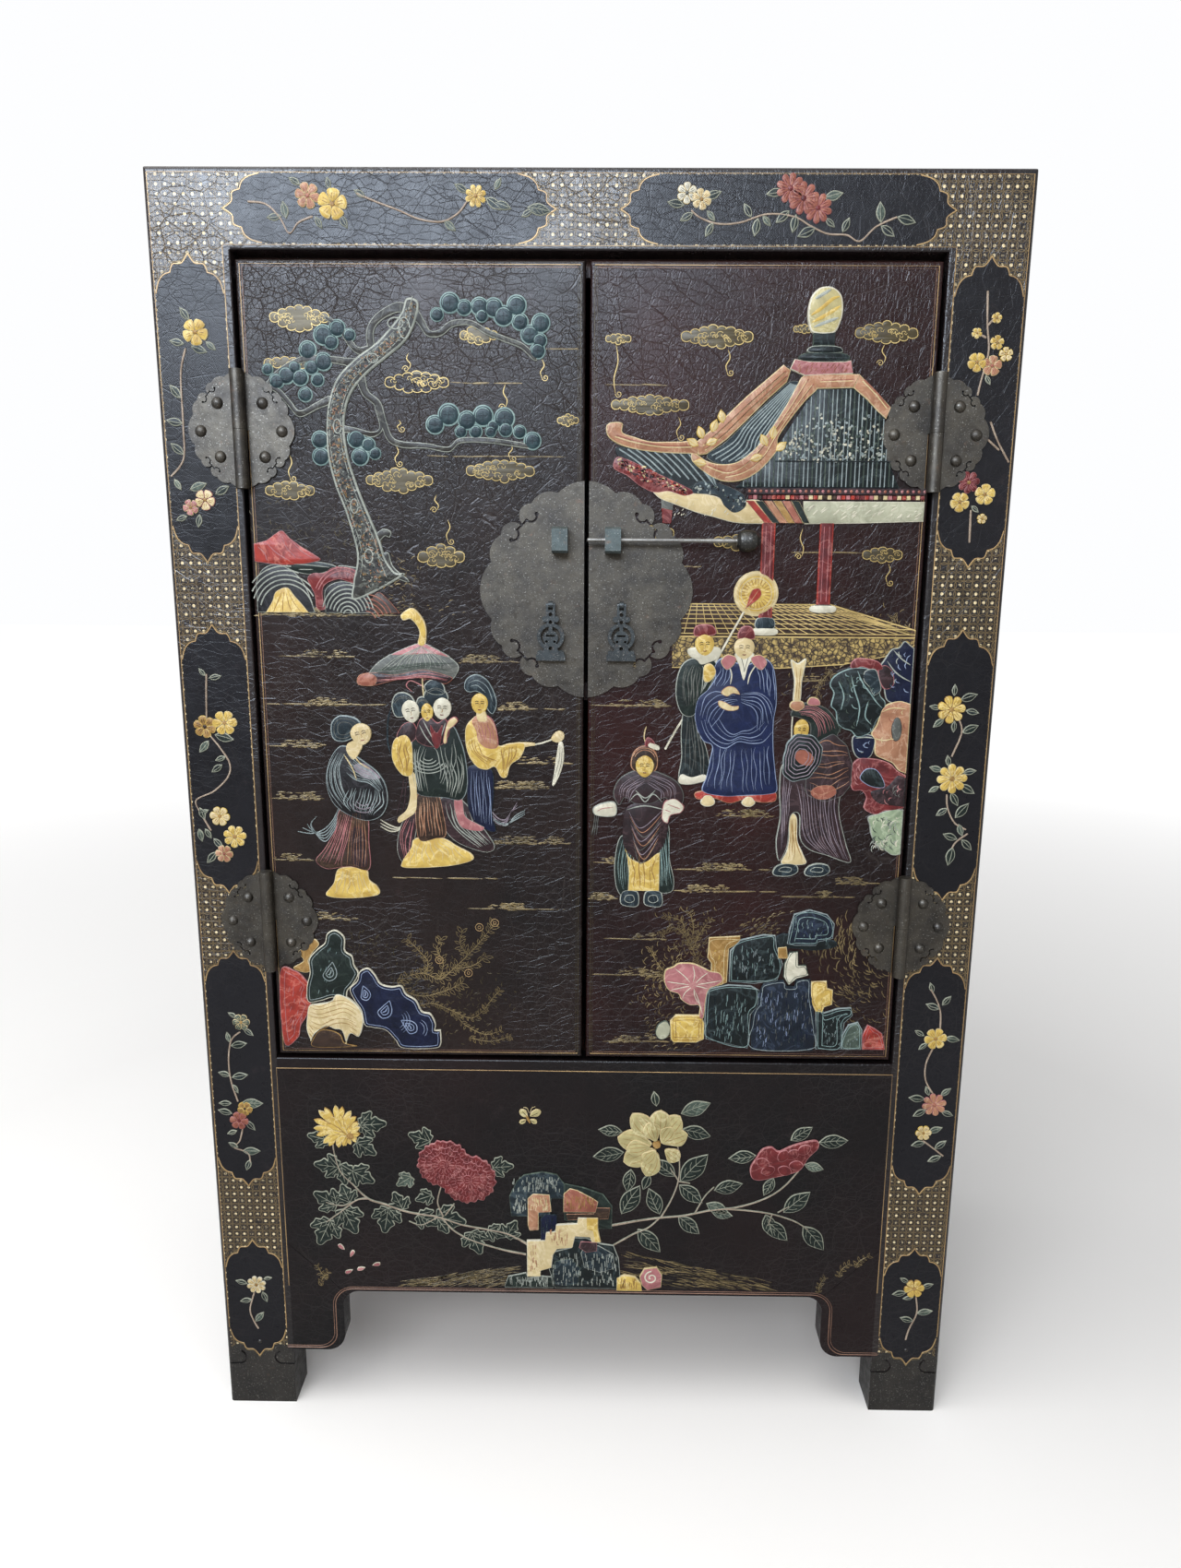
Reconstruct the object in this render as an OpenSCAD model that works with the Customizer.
// Two-door lacquered cabinet on four straight legs. A tall apron under the doors hides a
// storage well, and cloud-shaped metalwork is laid on the front. The front faces -Y, +X is to
// the viewer's right, and the floor is z = 0.

/* [Case] */
// Width over the posts
case_w = 800; // [740:10:900]
// Depth of the wooden case
case_d = 420; // [380:10:480]
// Height over all
case_h = 1282; // [1220:2:1340]
// Width of a post, seen from the front
post_w = 75; // [68:1:84]
// Thickness of a post, front to back
post_d = 42; // [38:1:50]
// Radius of the case's outer edges
arris = 4; // [3:0.5:6]
// Radius of the edges round the door opening
opening_arris = 2; // [1:0.5:3]
// Height of the top rails
top_rail_h = 69.5; // [62:0.5:80]
// Thickness of the side rails
side_t = 24; // [20:1:28]
// Thickness of the top panel
top_t = 18; // [16:1:22]

/* [Apron] */
// Height of the apron's lower edge above the floor
apron_z = 144; // [130:1:160]
// Height of the door opening's sill above the floor
sill_z = 423; // [390:1:450]
// Thickness of the front apron
apron_t = 25; // [22:1:30]
// Width of a front spandrel
spandrel_w = 59; // [48:1:70]
// How far a spandrel hangs below the apron
spandrel_drop = 75; // [60:1:84]
// Width of a side apron's spandrel
side_spandrel_w = 46; // [40:1:60]
// Hollow radius between apron and spandrel
hollow_r = 18; // [12:1:22]
// Radius of a spandrel's lower corner
toe_r = 20; // [14:1:26]
// Width of the open mitre line beside a spandrel
mitre_gap = 0.4; // [0.2:0.1:0.8]
// Height of the side and rear bottom rails
low_rail_h = 70; // [60:1:90]
// Thickness of the rear bottom rail
rear_rail_t = 24; // [20:1:28]

/* [Panels] */
// Thickness of a side panel
side_panel_t = 14; // [12:1:16]
// Depth of the side panels behind the frame's face
side_recess = 2; // [1:0.5:4]
// Thickness of the back panel
back_t = 12; // [10:1:14]
// Depth of the back panel behind the frame's face
back_recess = 4; // [2:1:8]
// Length of the panel tongues
tongue_l = 6; // [4:1:8]
// Thickness of the panel tongues
tongue_t = 6; // [5:1:8]
// Length of the rail tenons
tenon_l = 28; // [20:1:32]
// Thickness of the rail tenons
tenon_t = 12; // [10:1:14]
// Shoulder above and below a tenon
shoulder = 12; // [10:1:16]
// Clearance round housed edges
house_gap = 0.2; // [0.1:0.05:0.4]

/* [Inside] */
// Thickness of the well's bottom board
bottom_t = 12; // [10:1:16]
// Height of the bottom board above the apron's edge
bottom_rise = 8; // [4:1:16]
// Set-back of the lift-out boards and the shelf behind the posts
board_back = 4; // [3:0.5:8]
// Thickness of the lift-out floor boards
floor_t = 18; // [14:1:22]
// Clearance round the lift-out boards and the shelf
lift_gap = 0.8; // [0.5:0.1:1]
// Radius of the finger hole in a floor board
finger_r = 13; // [11:1:16]
// Height of the bearers under the floor boards
bearer_h = 22; // [18:1:30]
// Width of the ledge that a floor board rests on
ledge_w = 14; // [10:1:20]
// Width of the middle bearer
middle_w = 30; // [24:1:40]
// Height of the cleats and shelf battens
cleat_h = 14; // [10:1:20]
// Width of the cleats and shelf battens
cleat_w = 15; // [12:1:20]
// Height of the lower bay, floor to shelf
bay_h = 377; // [330:1:400]
// Thickness of the shelf
shelf_t = 18; // [14:1:22]
// Height of the strip that stops the doors
stop_h = 16; // [12:1:20]
// Thickness of the strip that stops the doors
stop_t = 14; // [10:1:18]

/* [Doors] */
// Thickness of a door
door_t = 24; // [20:1:24]
// Gap between door and post
door_side_gap = 3.5; // [3:0.1:4.5]
// Gap over a door
door_top_gap = 7.5; // [4:0.5:9]
// Gap under a door
door_low_gap = 4.5; // [3:0.5:6]
// Gap between the two doors
meet_gap = 4.4; // [3.5:0.1:5.5]
// Radius of a door's front edges
door_arris = 3; // [2:0.5:4]
// Height of a batten on the back of a door
batten_h = 36; // [28:1:44]
// Width of the neck of a batten's dovetail
batten_neck = 18; // [14:1:22]
// Thickness of a batten behind the door
batten_t = 12; // [8:1:14]
// Depth of a batten's dovetail in the door
dovetail = 6; // [4:1:8]
// Distance of a batten's middle from the door's end
batten_inset = 96; // [70:1:120]
// Distance of a batten's ends from the door's sides
batten_margin = 14; // [10:1:20]

/* [Hinges] */
// Width of an open hinge
hinge_w = 98; // [88:1:106]
// Height of a hinge
hinge_h = 106; // [96:1:116]
// Distance of a hinge's middle from the door's end
hinge_inset = 149; // [120:1:180]
// Thickness of the laid-on plates
plate_t = 2; // [1.6:0.1:2.6]
// Radius of a knuckle
knuckle_r = 6.3; // [6:0.1:7]
// Radius of a hinge pin
pin_r = 3; // [2.4:0.1:3.4]
// Running clearance round a pin
running = 0.05; // [0.03:0.01:0.08]
// Clearance between neighbours that move past each other
seat_gap = 0.3; // [0.25:0.05:0.5]
// Radius of a domed nail's head
nail_r = 5.5; // [4.5:0.1:6]
// Height of a domed nail's head
nail_h = 3.8; // [3:0.1:4.4]
// Radius of a nail's shank
shank_r = 1.4; // [1:0.1:1.8]
// Length of a nail's shank
shank_l = 16; // [12:1:18]

/* [Lock] */
// Radius of the round lock plate
lock_r = 102; // [92:1:108]
// Height of the lock plate's middle above the doors' middle
lock_rise = 94; // [60:1:110]
// Height of the bolt above the lock plate's middle
bolt_rise = 47.5; // [44:0.5:54]
// Radius of the bolt's rod
rod_r = 2; // [1.6:0.1:2.2]
// Length of the bolt's rod
rod_l = 141; // [130:1:150]
// Radius of the bolt's knob
knob_r = 10; // [8:0.5:11]
// Length of the bolt's knob
knob_l = 21; // [18:1:24]
// Clearance of the drawn bolt's tip from the other door
tip_gap = 2.6; // [2:0.1:4]
// Distance of a staple's middle from the middle line
staple_x = 25; // [22:1:30]
// Width of a staple
staple_w = 15; // [12:1:17]
// Height of a staple
staple_h = 24; // [20:1:28]
// Thickness of a staple's front strap
strap_t = 3; // [2.5:0.1:4]
// Width of the square passage for the rod
passage = 5.2; // [5:0.1:5.6]
// Bevel on a staple's edges
bevel = 2; // [1:0.2:2.5]

/* [Pulls] */
// Distance of a pull's middle from the middle line
pull_x = 34; // [32:1:40]
// Height of the pulls' pins below the lock plate's middle
pull_drop = 13; // [8:1:20]
// Thickness of a pull
pull_t = 4; // [3:0.5:5]
// Width of a pull's foot
pull_w = 28; // [25:0.5:31]
// Length of a pull below its pin
pull_l = 53; // [48:1:58]
// Outer radius of a pull's ring
ring_r = 13; // [12:0.5:14]
// Width of a pull's ring
ring_w = 3.4; // [2.8:0.2:4]
// Radius of a pull's pin
pull_pin_r = 1.6; // [1.4:0.1:1.8]
// Outer radius of the cotter eye
eye_r = 3.6; // [3.2:0.1:4.2]
// Width of the cotter eye
eye_w = 4; // [3:0.5:5]
// Distance of a pull's pin from the plate
eye_stand = 5; // [4.4:0.1:6]
// Radius of the cotter's shank
eye_shank_r = 1.8; // [1.4:0.1:2]

/* [Shoes] */
// Thickness of a shoe's metal
shoe_t = 1.2; // [0.8:0.1:1.6]
// Height of a shoe's plain band
shoe_band = 49; // [40:1:56]
// Radius of a shoe nail's head
tack_r = 2.4; // [1.8:0.1:3]
// Height of a shoe nail's head
tack_h = 1.4; // [1:0.1:1.8]

/* [Hidden] */
$fn = 48;

lacquer = "#241a1c";
inner_lacquer = "#3b2421";
bronze = "#504d47";

// How far a cut or a union reaches past a face
over = 1;
half_w = case_w / 2;
op_x = half_w - post_w;
rail_z = case_h - top_rail_h;
side_apron_top = apron_z + low_rail_h;

// The bolt stands off the plate by its knob, and the whole model is centred front to back
bolt_stand = knob_r + seat_gap;
front_proud = plate_t + bolt_stand + knob_r;
back_proud = tack_h;
front_y = (front_proud - back_proud - case_d) / 2;
back_y = front_y + case_d;
mid_y = (front_y + back_y) / 2;

// Side panels, back panel and the space between the posts
side_in_x = half_w - side_recess - side_panel_t;
panel_y0 = front_y + post_d;
panel_y1 = back_y - post_d;

// Compartment floor
floor_z = sill_z - floor_t;
board_y0 = panel_y0 + board_back;
board_y1 = panel_y1 - board_back;
bottom_z = apron_z + bottom_rise;
shelf_z = sill_z + bay_h;

// Doors
door_x0 = meet_gap / 2;
door_x1 = op_x - door_side_gap;
door_z0 = sill_z + door_low_gap;
door_z1 = rail_z - door_top_gap;
door_mid_z = (door_z0 + door_z1) / 2;

// Hinge axis, in front of the middle of the gap beside the door
axis_x = op_x - door_side_gap / 2;
axis_y = front_y - knuckle_r - seat_gap;
leaf_edge = knuckle_r + 2 * seat_gap;
hinge_zs = [door_z1 - hinge_inset, door_z0 + hinge_inset];
hinge_nail_places = [[21, 24], [38, -1], [21, -24]];

lock_z = door_mid_z + lock_rise;
bolt_z = lock_z + bolt_rise;
bolt_y = front_y - plate_t - bolt_stand;
tip_x = tip_gap - meet_gap / 2;
pull_z = lock_z - pull_drop;
pull_y = front_y - plate_t - eye_stand;

// Lobes of a cloud outline: angle from the upright, distance and radius as shares of the plate's
main_lobe = [0, 0.62, 0.38];
side_lobe = [25.5, 0.78, 0.2];
curl = [37, 0.86, 0.11];
cloud_core = 0.846;
// Radius, width and end hole of the scroll slit in a curl, as shares of the plate's radius
slit_r = 0.055;
slit_w = 0.02;
slit_eye = 0.019;
// Angles between which a scroll slit runs, counted from the curl's outward direction
slit_from = 110;
slit_to = 275;
// Direction in which the slits of two neighbouring curls run into each other
slit_mouth = 262;

// A shoe's cloud over its band: crown and side lobes as [x, z, radius], shares of the face's width
crown_lobe = [0, 0.253, 0.267];
wing_lobe = [0.28, 0.12, 0.227];
wing_web = 0.1;
// Scroll in a wing: its middle's x, and its slit's radius and width
wing_scroll = [0.327, 0.107, 0.028];
shoe_nail_rise = 0.39;

// Outline of a pull: ring and disc, neck and its beads, foot
ring_low = 23;
disc_r = 0.55 * ring_r;
neck_r = 4.4;
bead_r = 2.8;
foot_h = 6;
stem_w = 7.2;
foot_bead_r = 2.6;

// Helpers

module span(a, b, g = 0) {
    translate([a[0] - g, a[1] - g, a[2] - g])
        cube([b[0] - a[0] + 2 * g, b[1] - a[1] + 2 * g, b[2] - a[2] + 2 * g]);
}

module left() {
    mirror([1, 0, 0]) children();
}

module both_sides() {
    children();
    left() children();
}

module rear() {
    translate([0, 2 * mid_y, 0]) mirror([0, 1, 0]) children();
}

// What lies outside a quarter round at a corner, with the corner at the origin
module corner_out(r) {
    difference() {
        translate([-over, -over]) square(r + over);
        translate([r, r]) circle(r);
    }
}

// Rectangle whose two corners on the x axis are rounded
module front_rounded(w, d, r) {
    translate([0, r]) square([w, d - r]);
    translate([r, 0]) square([w - 2 * r, d]);
    for (x = [r, w - r]) translate([x, r]) circle(r);
}

// Outline in x and z, laid on the front face and t thick towards the viewer
module on_front(t) {
    translate([0, front_y, 0]) rotate([90, 0, 0]) linear_extrude(t) children();
}

// Outline in y and z, extruded from x to x + l
module along_x(x, l) {
    translate([x, 0, 0]) rotate([90, 0, 90]) linear_extrude(l) children();
}

// Sector of a ring between two angles
module arc_slit(r, w, a0, a1) {
    steps = 6;
    reach = 2 * r;
    intersection() {
        difference() {
            circle(r + w / 2);
            circle(r - w / 2);
        }
        polygon(concat([[0, 0]],
            [for (i = [0:steps]) let (a = a0 + (a1 - a0) * i / steps) reach * [cos(a), sin(a)]]));
    }
}

// Scalloped cloud outline with a pair of scrolled curls in each quarter
module cloud(rx, rz) {
    k = (rx + rz) / 2;
    difference() {
        union() {
            circle(cloud_core * k);
            for (a = [0:90:270]) lobe_place(main_lobe, a, 1, rx, rz) circle(main_lobe[2] * k);
            for (a = [0:90:270], turn = [-1, 1]) {
                lobe_place(side_lobe, a, turn, rx, rz) circle(side_lobe[2] * k);
                lobe_place(curl, a, turn, rx, rz) circle(curl[2] * k);
            }
        }
        for (a = [0:90:270], turn = [-1, 1])
            lobe_place(curl, a, turn, rx, rz) mirror([0, turn > 0 ? 1 : 0]) scroll(k);
        for (a = [0:90:270])
            strip(mouth_at(a, 1, rx, rz), mouth_at(a + 90, -1, rx, rz), slit_w * k);
    }
}

// Middle of a lobe beside the plate's axis at angle a, and its outward direction
function lobe_angle(l, a, turn) = a + turn * l[0];
function lobe_at(l, b, rx, rz) = [l[1] * rx * cos(b), l[1] * rz * sin(b)];

module lobe_place(l, a, turn, rx, rz) {
    b = lobe_angle(l, a, turn);
    translate(lobe_at(l, b, rx, rz)) rotate(b) children();
}

// Where a curl's slit turns off to meet its neighbour's
function mouth_at(a, turn, rx, rz) =
    let (b = lobe_angle(curl, a, turn), c = b - turn * slit_mouth)
    lobe_at(curl, b, rx, rz) + slit_r * (rx + rz) / 2 * [cos(c), sin(c)];

module strip(p, q, w) {
    d = q - p;
    translate(p) rotate(atan2(d[1], d[0])) translate([0, -w / 2]) square([norm(d), w]);
}

module scroll(k) {
    arc_slit(slit_r * k, slit_w * k, slit_from, slit_to);
    translate(slit_r * k * [cos(slit_from), sin(slit_from)]) circle(slit_eye * k);
}

// Domed nail driven along +y, with its head's flat face at the origin
module domed_nail(r, h, shank, l) {
    ball = (r * r + h * h) / (2 * h);
    rotate([90, 0, 0]) {
        intersection() {
            translate([0, 0, h - ball]) sphere(ball);
            cylinder(r = r + over, h = h);
        }
        translate([0, 0, -l]) cylinder(r = shank, h = l + h / 2);
    }
}

module nail_hole(shank, l) {
    rotate([90, 0, 0]) translate([0, 0, -l - house_gap]) cylinder(r = shank + running, h = l + 2 * over);
}

// Joinery, drawn at the right side: g grows a tenon into its mortise

module top_rail_tenon(g = 0) {
    y = front_y + (post_d - tenon_t) / 2;
    span([op_x - over, y, rail_z + shoulder],
        [op_x + tenon_l, y + tenon_t, case_h - top_t - shoulder / 2], g);
}

module low_rail_tenon(g = 0) {
    y = back_y - (rear_rail_t + tenon_t) / 2;
    span([op_x - over, y, apron_z + shoulder], [op_x + tenon_l, y + tenon_t, side_apron_top - shoulder], g);
}

module side_rail_tenon(g = 0) {
    x = half_w - (side_t + tenon_t) / 2;
    span([x, panel_y0 - tenon_l / 2, rail_z + shoulder],
        [x + tenon_t, panel_y0 + over, case_h - top_t - shoulder / 2], g);
}

module side_apron_tenon(g = 0) {
    x = half_w - (side_t + tenon_t) / 2;
    span([x, panel_y0 - tenon_l / 2, apron_z - spandrel_drop + toe_r],
        [x + tenon_t, panel_y0 + over, side_apron_top - shoulder], g);
}

module apron_tongue(g = 0) {
    y = front_y + (apron_t - tongue_t) / 2;
    span([op_x - over, y, apron_z + spandrel_w + shoulder],
        [op_x + tongue_l, y + tongue_t, sill_z - shoulder], g);
}

module spandrel_tongue(g = 0) {
    y = front_y + (apron_t - tongue_t) / 2;
    span([op_x - over, y, apron_z - spandrel_drop + shoulder],
        [op_x + tongue_l, y + tongue_t, apron_z + spandrel_w - shoulder], g);
}

module side_panel_tongue(g = 0) {
    x = side_in_x + (side_panel_t - tongue_t) / 2;
    span([x, panel_y0 - tongue_l, side_apron_top - tongue_l],
        [x + tongue_t, panel_y1 + tongue_l, rail_z + tongue_l], g);
}

module back_panel_tongue(g = 0) {
    y = back_y - back_recess - (back_t + tongue_t) / 2;
    span([-op_x - tongue_l, y, side_apron_top - tongue_l],
        [op_x + tongue_l, y + tongue_t, rail_z + tongue_l], g);
}

module top_panel_tongue(g = 0) {
    x = half_w - side_t + tongue_l;
    z = case_h - top_t;
    span([-x, panel_y0 - tongue_l, z], [x, panel_y1 + tongue_l, z + tongue_t], g);
}

// Edges of the top that are rounded on posts and rails alike
module top_rounds() {
    for (m = [0, 1]) {
        translate([0, 2 * m * mid_y, 0]) mirror([0, m, 0])
            translate([-half_w - over, front_y, case_h]) rotate([0, 90, 0])
                linear_extrude(case_w + 2 * over) corner_out(arris);
        mirror([m, 0, 0]) translate([half_w, front_y - over, case_h]) rotate([0, 0, 90]) rotate([0, 90, 0])
            linear_extrude(case_d + 2 * over) corner_out(arris);
    }
}

// Posts and shoes

module post_section(inset = 0) {
    difference() {
        translate([op_x + inset, front_y + inset]) square([post_w - 2 * inset, post_d - 2 * inset]);
        translate([half_w - inset, front_y + inset]) mirror([1, 0]) corner_out(arris - inset);
    }
}

// One face of a shoe, w wide: a plain band under a three-lobed cloud
module shoe_face(w, scrolled) {
    slit = wing_scroll[2] * w;
    difference() {
        intersection() {
            union() {
                translate([-w / 2, 0]) square([w, shoe_band + wing_web * w]);
                translate([0, shoe_band + crown_lobe[1] * w]) circle(crown_lobe[2] * w);
                for (s = [-1, 1]) translate([s * wing_lobe[0] * w, shoe_band + wing_lobe[1] * w])
                    circle(wing_lobe[2] * w);
            }
            translate([-w / 2, 0]) square([w, shoe_band + w]);
        }
        if (scrolled) for (s = [0, 1]) mirror([s, 0])
            translate([wing_scroll[0] * w, shoe_band + wing_lobe[1] * w]) {
                arc_slit(wing_scroll[1] * w, slit, slit_from, slit_to);
                translate([0, -wing_scroll[1] * w - slit / 2]) square([w, slit]);
            }
    }
}

function shoe_tack_z(w) = shoe_band + shoe_nail_rise * w;

// Metal skin of the right front foot, let into the post by its own thickness
module shoe_skin(scrolled) {
    intersection() {
        difference() {
            linear_extrude(case_h / 2) post_section();
            translate([0, 0, -over]) linear_extrude(case_h) post_section(shoe_t);
        }
        union() {
            span([op_x, front_y, 0], [half_w, front_y + post_d, shoe_band]);
            translate([half_w - post_w / 2, front_y + arris, 0]) rotate([90, 0, 0])
                linear_extrude(arris + over) shoe_face(post_w, scrolled);
            translate([half_w - arris, front_y + post_d / 2, 0]) rotate([90, 0, 90])
                linear_extrude(arris + over) shoe_face(post_d, scrolled);
        }
    }
}

module shoe() {
    color(bronze) difference() {
        shoe_skin(true);
        shoe_tacks(true);
    }
}

// Two small nails in the right front shoe, or their holes
module shoe_tacks(holes = false) {
    places = [[half_w - post_w / 2, front_y, shoe_tack_z(post_w), 0],
        [half_w, front_y + post_d / 2, shoe_tack_z(post_d), 90]];
    for (p = places) translate([p[0], p[1], p[2]]) rotate([0, 0, p[3]])
        if (holes) nail_hole(tack_h / 2, shank_l / 2);
        else domed_nail(tack_r, tack_h, tack_h / 2, shank_l / 2);
}

module front_post() {
    color(lacquer) difference() {
        linear_extrude(case_h) post_section();
        top_rounds();
        top_rail_tenon(house_gap);
        side_rail_tenon(house_gap);
        side_apron_tenon(house_gap);
        apron_tongue(house_gap);
        spandrel_tongue(house_gap);
        side_panel_tongue(house_gap);
        top_panel_tongue(house_gap);
        shoe_skin(false);
        shoe_tacks(true);
        translate([op_x, front_y, sill_z]) linear_extrude(rail_z - sill_z) corner_out(opening_arris);
        hinge_nail_holes(1, shank_l);
    }
}

module rear_post() {
    color(lacquer) difference() {
        rear() difference() {
            linear_extrude(case_h) post_section();
            top_rail_tenon(house_gap);
            side_rail_tenon(house_gap);
            side_apron_tenon(house_gap);
            shoe_skin(false);
            shoe_tacks(true);
        }
        top_rounds();
        low_rail_tenon(house_gap);
        side_panel_tongue(house_gap);
        back_panel_tongue(house_gap);
        top_panel_tongue(house_gap);
    }
}

// Rails and panels

module top_rail() {
    difference() {
        union() {
            span([-op_x, front_y, rail_z], [op_x, panel_y0, case_h]);
            both_sides() top_rail_tenon();
        }
        top_rounds();
        top_panel_tongue(house_gap);
    }
}

module front_top_rail() {
    color(lacquer) difference() {
        top_rail();
        translate([op_x, front_y, rail_z]) rotate([0, -90, 0])
            linear_extrude(2 * op_x) corner_out(opening_arris);
    }
}

module rear_top_rail() {
    color(lacquer) difference() {
        rear() top_rail();
        back_panel_tongue(house_gap);
    }
}

module side_top_rail() {
    color(lacquer) difference() {
        union() {
            span([half_w - side_t, panel_y0, rail_z], [half_w, panel_y1, case_h]);
            side_rail_tenon();
            rear() side_rail_tenon();
        }
        top_rounds();
        top_panel_tongue(house_gap);
        side_panel_tongue(house_gap);
    }
}

module top_panel() {
    x = half_w - side_t;
    color(lacquer) {
        span([-x, panel_y0, case_h - top_t], [x, panel_y1, case_h]);
        top_panel_tongue();
    }
}

module rear_bottom_rail() {
    color(lacquer) difference() {
        union() {
            span([-op_x, back_y - rear_rail_t, apron_z], [op_x, back_y, side_apron_top]);
            both_sides() low_rail_tenon();
        }
        back_panel_tongue(house_gap);
        well_bottom_boards(house_gap);
    }
}

module side_panel() {
    color(lacquer) {
        span([side_in_x, panel_y0, side_apron_top], [half_w - side_recess, panel_y1, rail_z]);
        side_panel_tongue();
    }
}

module back_panel() {
    y = back_y - back_recess;
    color(inner_lacquer) {
        span([-op_x, y - back_t, side_apron_top], [op_x, y, rail_z]);
        back_panel_tongue();
    }
}

// Apron outline: a board with a rounded drop beside each post
module skirt(half_l, z_top, foot_w) {
    inner = half_l - foot_w;
    foot_z = apron_z - spandrel_drop;
    translate([-half_l, apron_z]) square([2 * half_l, z_top - apron_z]);
    for (s = [0, 1]) mirror([s, 0]) {
        difference() {
            translate([inner, foot_z]) square([foot_w, spandrel_drop + over]);
            translate([inner, foot_z]) corner_out(toe_r);
        }
        difference() {
            translate([inner - hollow_r, apron_z - hollow_r]) square(hollow_r + over);
            translate([inner - hollow_r, apron_z - hollow_r]) circle(hollow_r);
        }
    }
}

module front_skirt() {
    translate([0, apron_t, 0]) on_front(apron_t) skirt(op_x, sill_z, spandrel_w);
}

// The right lower corner, cut off along the mitre that rises from the inner corner
module mitre_corner(gap) {
    p = op_x - spandrel_w;
    reach = spandrel_w + hollow_r + over;
    shift = gap / sqrt(2);
    translate([0, apron_t + over, 0]) on_front(apron_t + 2 * over) polygon([
        [p - hollow_r + shift, apron_z - hollow_r - shift],
        [p + reach + shift, apron_z + reach - shift],
        [p + reach + shift, apron_z - spandrel_drop - over],
        [p - hollow_r + shift, apron_z - spandrel_drop - over]
    ]);
}

module apron_panel() {
    color(lacquer) difference() {
        union() {
            front_skirt();
            both_sides() apron_tongue();
        }
        both_sides() mitre_corner(-mitre_gap / 2);
        well_bottom_boards(house_gap);
        translate([-op_x, front_y, sill_z]) rotate([0, 90, 0])
            linear_extrude(2 * op_x) corner_out(opening_arris);
    }
}

module spandrel() {
    color(lacquer) difference() {
        union() {
            intersection() {
                front_skirt();
                mitre_corner(mitre_gap / 2);
            }
            spandrel_tongue();
        }
        well_bottom_boards(house_gap);
    }
}

module side_apron() {
    color(lacquer) difference() {
        union() {
            along_x(half_w - side_t, side_t) translate([mid_y, 0])
                skirt((panel_y1 - panel_y0) / 2, side_apron_top, side_spandrel_w);
            side_apron_tenon();
            rear() side_apron_tenon();
        }
        side_panel_tongue(house_gap);
        well_bottom_boards(house_gap);
    }
}

// The inside

// Bottom of the well, notched round the posts and housed in the aprons and the rear rail
module well_bottom_boards(g = 0) {
    x = op_x - house_gap;
    side_x = half_w - side_t + tongue_l;
    z1 = bottom_z + bottom_t;
    span([-x, front_y + apron_t - tongue_l, bottom_z], [x, back_y - rear_rail_t + tongue_l, z1], g);
    span([-side_x, panel_y0 + house_gap, bottom_z], [side_x, panel_y1 - house_gap, z1], g);
}

module well_bottom() {
    color(inner_lacquer) well_bottom_boards();
}

module sill_rail() {
    y0 = front_y + apron_t;
    y1 = board_y0 - lift_gap;
    color(inner_lacquer) difference() {
        along_x(-op_x, 2 * op_x) polygon([
            [y0, floor_z - bearer_h], [y1 + ledge_w, floor_z - bearer_h], [y1 + ledge_w, floor_z],
            [y1, floor_z], [y1, sill_z], [y0, sill_z]
        ]);
        bearer_tenons(house_gap);
    }
}

module rear_bearer() {
    y0 = board_y1 + lift_gap;
    y1 = back_y - back_recess - back_t;
    color(inner_lacquer) difference() {
        along_x(-op_x, 2 * op_x) polygon([
            [y1, floor_z - bearer_h], [y0 - ledge_w, floor_z - bearer_h], [y0 - ledge_w, floor_z],
            [y0, floor_z], [y0, sill_z], [y1, sill_z]
        ]);
        bearer_tenons(house_gap);
    }
}

// Stub tenons at both ends of the middle bearer
module bearer_tenons(g = 0) {
    inset = ledge_w / 2;
    span([-middle_w / 4, board_y0 + inset, floor_z - bearer_h * 0.75],
        [middle_w / 4, board_y1 - inset, floor_z - bearer_h / 4], g);
}

module middle_bearer() {
    color(inner_lacquer) {
        span([-middle_w / 2, board_y0 - lift_gap + ledge_w, floor_z - bearer_h],
            [middle_w / 2, board_y1 + lift_gap - ledge_w, floor_z]);
        bearer_tenons();
    }
}

module cleat(z) {
    color(inner_lacquer) span([side_in_x - cleat_w, panel_y0, z - cleat_h], [side_in_x, panel_y1, z]);
}

module floor_board() {
    x1 = side_in_x - lift_gap;
    color(inner_lacquer) difference() {
        span([lift_gap / 2, board_y0, floor_z], [x1, board_y1, sill_z]);
        translate([x1 / 2, board_y0 + 3 * finger_r, floor_z - over])
            cylinder(r = finger_r, h = floor_t + 2 * over);
    }
}

module shelf() {
    x = side_in_x - lift_gap;
    color(inner_lacquer) span([-x, board_y0, shelf_z], [x, board_y1, shelf_z + shelf_t]);
}

module door_stop() {
    y = front_y + door_t + seat_gap;
    color(inner_lacquer) span([-op_x, y, rail_z - stop_h], [op_x, y + stop_t, rail_z]);
}

// Doors

module door() {
    w = door_x1 - door_x0;
    h = door_z1 - door_z0;
    color(lacquer) difference() {
        intersection() {
            translate([door_x0, front_y, door_z0]) linear_extrude(h) front_rounded(w, door_t, door_arris);
            translate([door_x1, front_y, door_z0]) rotate([0, -90, 0])
                linear_extrude(w) front_rounded(h, door_t, door_arris);
        }
        battens(house_gap);
        hinge_nail_holes(-1, shank_l);
        eye_hole();
    }
}

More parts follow.
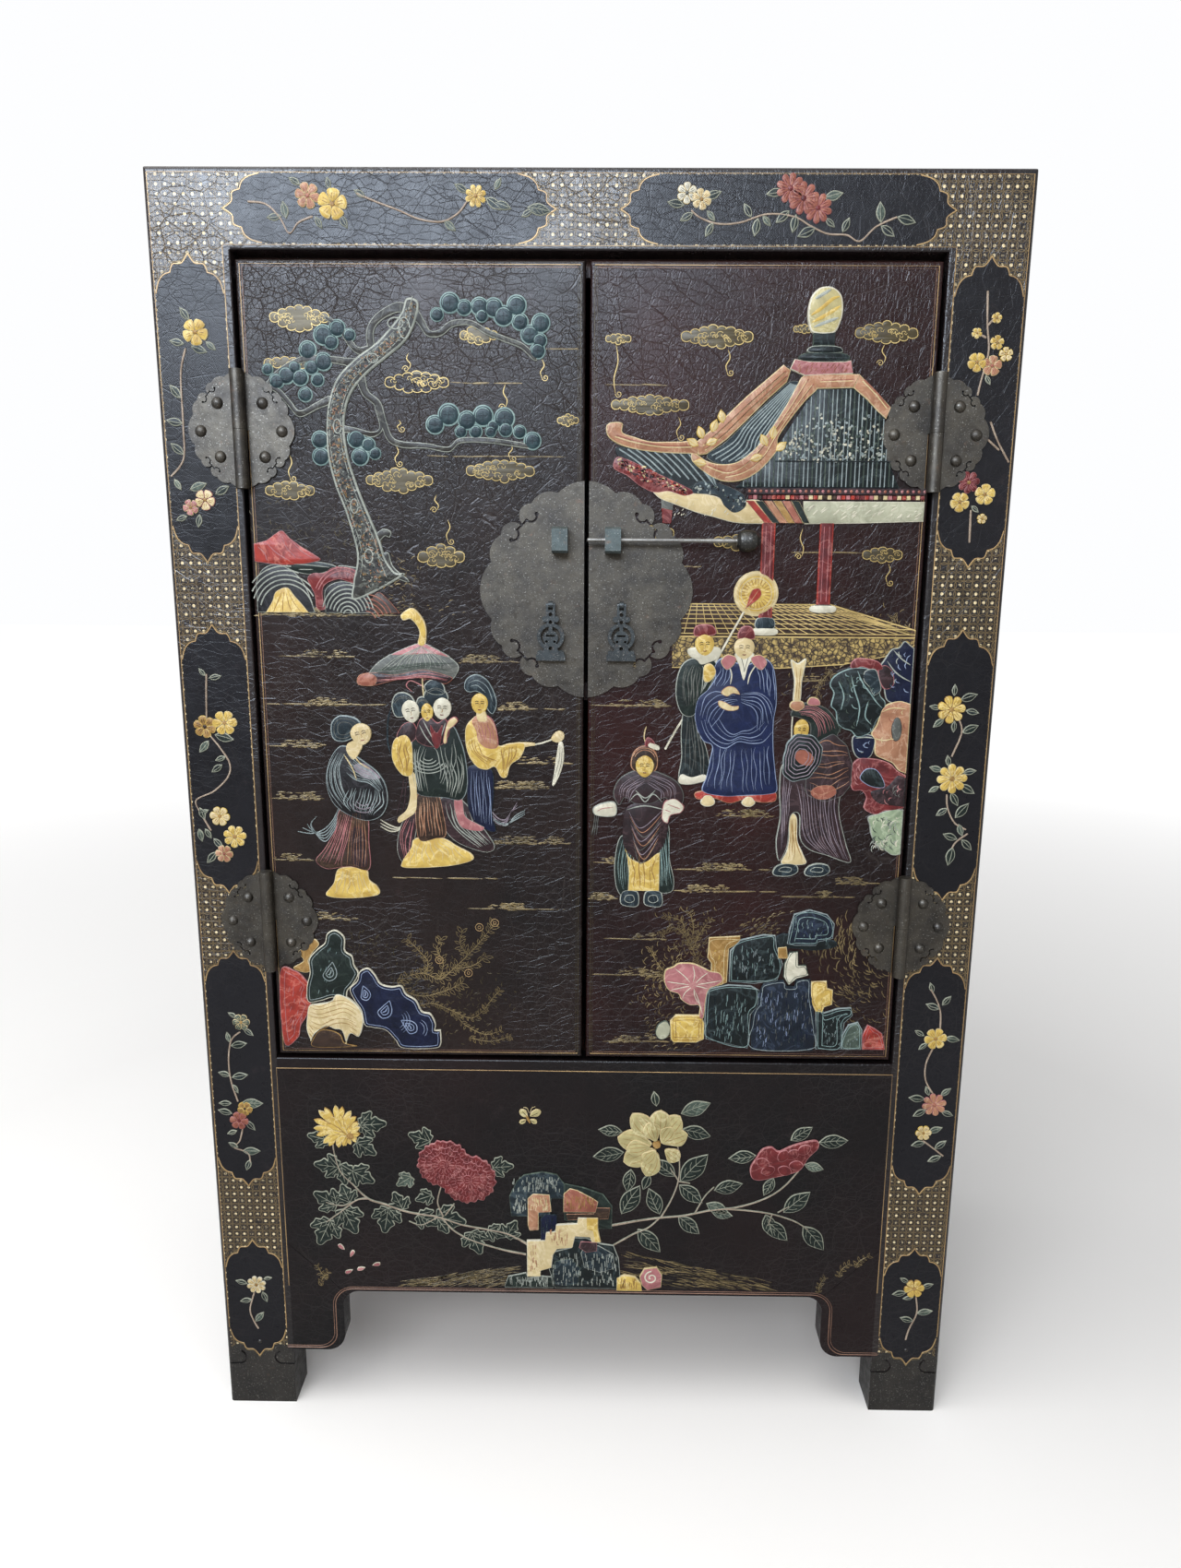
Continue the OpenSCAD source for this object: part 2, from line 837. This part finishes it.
// Battens on the back of the right door, keyed in by a long dovetail
module battens(g = 0) {
    x0 = door_x0 + batten_margin;
    x1 = door_x1 - batten_margin;
    back = front_y + door_t;
    neck = batten_neck / 2;
    wide = neck + dovetail / 3;
    for (z = [door_z0 + batten_inset, door_z1 - batten_inset]) {
        along_x(x0 - g, x1 - x0 + 2 * g) translate([back, z]) polygon([
            [over, -neck - g], [over, neck + g], [0, neck + g], [-dovetail - g, wide + g],
            [-dovetail - g, -wide - g], [0, -neck - g]
        ]);
        if (g == 0) span([x0, back, z - batten_h / 2], [x1, back + batten_t, z + batten_h / 2]);
    }
}

module door_battens() {
    color(inner_lacquer) battens();
}

// Hinges

// One leaf on the right side: side 1 lies on the post, side -1 on the door
module leaf(z, side) {
    h = (hinge_h - seat_gap) / 2;
    low = side == 1 ? -hinge_h / 2 : seat_gap / 2;
    stem_low = side == 1 ? low + plate_t : low;
    color(bronze) translate([axis_x, 0, z]) difference() {
        union() {
            on_front(plate_t) intersection() {
                cloud(hinge_w / 2, hinge_h / 2);
                translate([side == 1 ? leaf_edge : -hinge_w, -hinge_h])
                    square([hinge_w - leaf_edge, 2 * hinge_h]);
            }
            translate([side == 1 ? 0 : -leaf_edge - over, front_y - plate_t, stem_low])
                cube([leaf_edge + over, plate_t - seat_gap, h - plate_t]);
            translate([0, axis_y, low]) cylinder(r = knuckle_r, h = h);
        }
        translate([0, axis_y, -hinge_h]) cylinder(r = pin_r + running, h = 2 * hinge_h);
        for (p = hinge_nail_places)
            translate([side * p[0], front_y - plate_t, p[1]]) nail_hole(shank_r, shank_l);
    }
}

module hinge_nail_holes(side, l) {
    for (z = hinge_zs, p = hinge_nail_places)
        translate([axis_x + side * p[0], front_y - plate_t, z + p[1]]) nail_hole(shank_r, l);
}

module hinge_nails(side) {
    color(bronze) for (z = hinge_zs, p = hinge_nail_places)
        translate([axis_x + side * p[0], front_y - plate_t, z + p[1]])
            domed_nail(nail_r, nail_h, shank_r, shank_l);
}

module hinge_pins() {
    color(bronze) both_sides() for (z = hinge_zs)
        translate([axis_x, axis_y, z - hinge_h / 2]) cylinder(r = pin_r, h = hinge_h);
}

// Lock plate, bolt and pulls

module lock_plate() {
    color(bronze) difference() {
        on_front(plate_t) intersection() {
            translate([0, lock_z]) cloud(lock_r, lock_r);
            translate([door_x0, lock_z - 2 * lock_r]) square([2 * lock_r, 4 * lock_r]);
        }
        eye_hole();
    }
}

// Bevelled block with a square passage for the rod
module staple() {
    depth = bolt_stand + passage / 2 + strap_t;
    h = staple_h / 2;
    color(bronze) along_x(staple_x - staple_w / 2, staple_w)
        translate([front_y - plate_t, bolt_z]) difference() {
            polygon([
                [0, -h], [0, h], [-depth + bevel, h],
                [-depth, h - bevel], [-depth, -h + bevel], [-depth + bevel, -h]
            ]);
            translate([-bolt_stand - passage / 2, -passage / 2]) square(passage);
        }
}

// Rod and turned knob, drawn back until the tip clears the other door
module bolt() {
    collar = knob_r / 2;
    shoulder_r = 0.86 * knob_r;
    color(bronze) translate([tip_x, bolt_y, bolt_z]) rotate([0, 90, 0]) {
        translate([0, 0, rod_r]) cylinder(r = rod_r, h = rod_l - rod_r + over);
        translate([0, 0, rod_r]) sphere(rod_r);
        translate([0, 0, rod_l]) rotate_extrude() polygon([
            [0, 0], [collar, 0], [shoulder_r, 0.14 * knob_l], [knob_r, 0.34 * knob_l],
            [knob_r, 0.62 * knob_l], [shoulder_r, 0.84 * knob_l], [collar, knob_l], [0, knob_l]
        ]);
    }
}

module eye_hole() {
    translate([pull_x, front_y - plate_t - over, pull_z]) rotate([-90, 0, 0])
        cylinder(r = eye_shank_r + running, h = plate_t + shank_l + over);
}

module pull_eye() {
    color(bronze) translate([pull_x, pull_y, pull_z]) difference() {
        union() {
            translate([-eye_w / 2, 0, 0]) rotate([0, 90, 0]) cylinder(r = eye_r, h = eye_w);
            rotate([-90, 0, 0]) cylinder(r = eye_shank_r, h = eye_stand + plate_t + shank_l - house_gap);
        }
        translate([-eye_w, 0, 0]) rotate([0, 90, 0]) cylinder(r = pull_pin_r + running, h = 2 * eye_w);
    }
}

// Outline of the pendant, with the pin at the origin
module pendant() {
    ring_z = ring_low - pull_l;
    ring_top = ring_z + ring_r;
    ring_foot = ring_z - ring_r;
    neck_z = -eye_r - neck_r - over;
    bead_x = neck_r + over;
    foot_z = foot_h - pull_l;
    difference() {
        union() {
            difference() {
                translate([0, ring_z]) circle(ring_r);
                translate([0, ring_z]) circle(ring_r - ring_w);
            }
            translate([0, ring_z - 0.1 * ring_r]) circle(disc_r);
            translate([-disc_r, ring_foot + ring_w / 2]) square([2 * disc_r, 0.35 * ring_r]);
            translate([-ring_w / 2, ring_z]) square([ring_w, ring_r - ring_w / 2]);
            translate([0, neck_z]) circle(neck_r);
            for (s = [-1, 1]) translate([s * bead_x, neck_z - neck_r]) circle(bead_r);
            translate([-stem_w / 2, ring_top - over]) square([stem_w, neck_z - ring_top + 2 * over]);
            translate([-pull_w / 2, -pull_l]) square([pull_w, foot_h]);
            polygon([[-disc_r + over, ring_foot + ring_w / 2], [disc_r - over, ring_foot + ring_w / 2],
                [0.39 * pull_w, foot_z - over], [-0.39 * pull_w, foot_z - over]]);
            for (s = [-1, 1]) translate([s * 0.37 * pull_w, foot_z + bead_r / 2]) circle(foot_bead_r);
        }
        translate([0, neck_z]) circle(0.43 * neck_r);
        translate([0, neck_z - 1.65 * neck_r]) circle(0.41 * neck_r);
        translate([-0.33 * ring_r, ring_z]) square([0.66 * ring_r, 0.14 * ring_r]);
        for (s = [-1, 1]) translate([s * 0.3 * ring_r, ring_z - 0.36 * ring_r]) circle(0.1 * ring_r);
        translate([0, ring_z - 0.86 * ring_r]) circle(0.14 * ring_r);
    }
}

// Openwork pendant: two cheeks carry a pin through the cotter eye
module pull() {
    cheek_in = eye_w / 2 + seat_gap;
    cheek_w = pull_t / 2;
    cheek_l = eye_r + neck_r;
    color(bronze) translate([pull_x, pull_y, pull_z]) {
        translate([0, pull_t / 2, 0]) rotate([90, 0, 0]) linear_extrude(pull_t) pendant();
        for (s = [0, 1]) mirror([s, 0, 0]) {
            translate([cheek_in, 0, 0]) rotate([0, 90, 0]) cylinder(r = pull_t / 2, h = cheek_w);
            translate([cheek_in, -pull_t / 2, -cheek_l]) cube([cheek_w, pull_t, cheek_l]);
        }
        translate([-cheek_in - cheek_w / 2, 0, 0]) rotate([0, 90, 0])
            cylinder(r = pull_pin_r, h = 2 * cheek_in + cheek_w);
    }
}

left() front_post();  // front_post_left
front_post();  // front_post_right
left() rear_post();  // rear_post_left
rear_post();  // rear_post_right
front_top_rail();
rear_top_rail();
left() side_top_rail();  // side_top_rail_left
side_top_rail();  // side_top_rail_right
top_panel();
apron_panel();
left() spandrel();  // spandrel_left
spandrel();  // spandrel_right
left() side_apron();  // side_apron_left
side_apron();  // side_apron_right
rear_bottom_rail();
left() side_panel();  // side_panel_left
side_panel();  // side_panel_right
back_panel();
well_bottom();
sill_rail();
rear_bearer();
middle_bearer();
left() cleat(floor_z);  // well_cleat_left
cleat(floor_z);  // well_cleat_right
left() floor_board();  // floor_board_left
floor_board();  // floor_board_right
shelf();
left() cleat(shelf_z);  // shelf_batten_left
cleat(shelf_z);  // shelf_batten_right
door_stop();
left() door();  // left_door
door();  // right_door
left() door_battens();  // left_door_battens
door_battens();  // right_door_battens
left() leaf(hinge_zs[0], 1);  // upper_left_post_leaf
leaf(hinge_zs[0], 1);  // upper_right_post_leaf
left() leaf(hinge_zs[1], 1);  // lower_left_post_leaf
leaf(hinge_zs[1], 1);  // lower_right_post_leaf
left() leaf(hinge_zs[0], -1);  // upper_left_door_leaf
leaf(hinge_zs[0], -1);  // upper_right_door_leaf
left() leaf(hinge_zs[1], -1);  // lower_left_door_leaf
leaf(hinge_zs[1], -1);  // lower_right_door_leaf
hinge_pins();
both_sides() hinge_nails(1);  // post_nails
left() hinge_nails(-1);  // left_door_nails
hinge_nails(-1);  // right_door_nails
left() lock_plate();  // lock_plate_left
lock_plate();  // lock_plate_right
left() staple();  // staple_left
staple();  // staple_right
left() pull_eye();  // pull_eye_left
pull_eye();  // pull_eye_right
left() pull();  // pull_left
pull();  // pull_right
bolt();
left() shoe();  // front_shoe_left
shoe();  // front_shoe_right
rear() left() shoe();  // rear_shoe_left
rear() shoe();  // rear_shoe_right
color(bronze) both_sides() {  // shoe_nails
    shoe_tacks();
    rear() shoe_tacks();
}
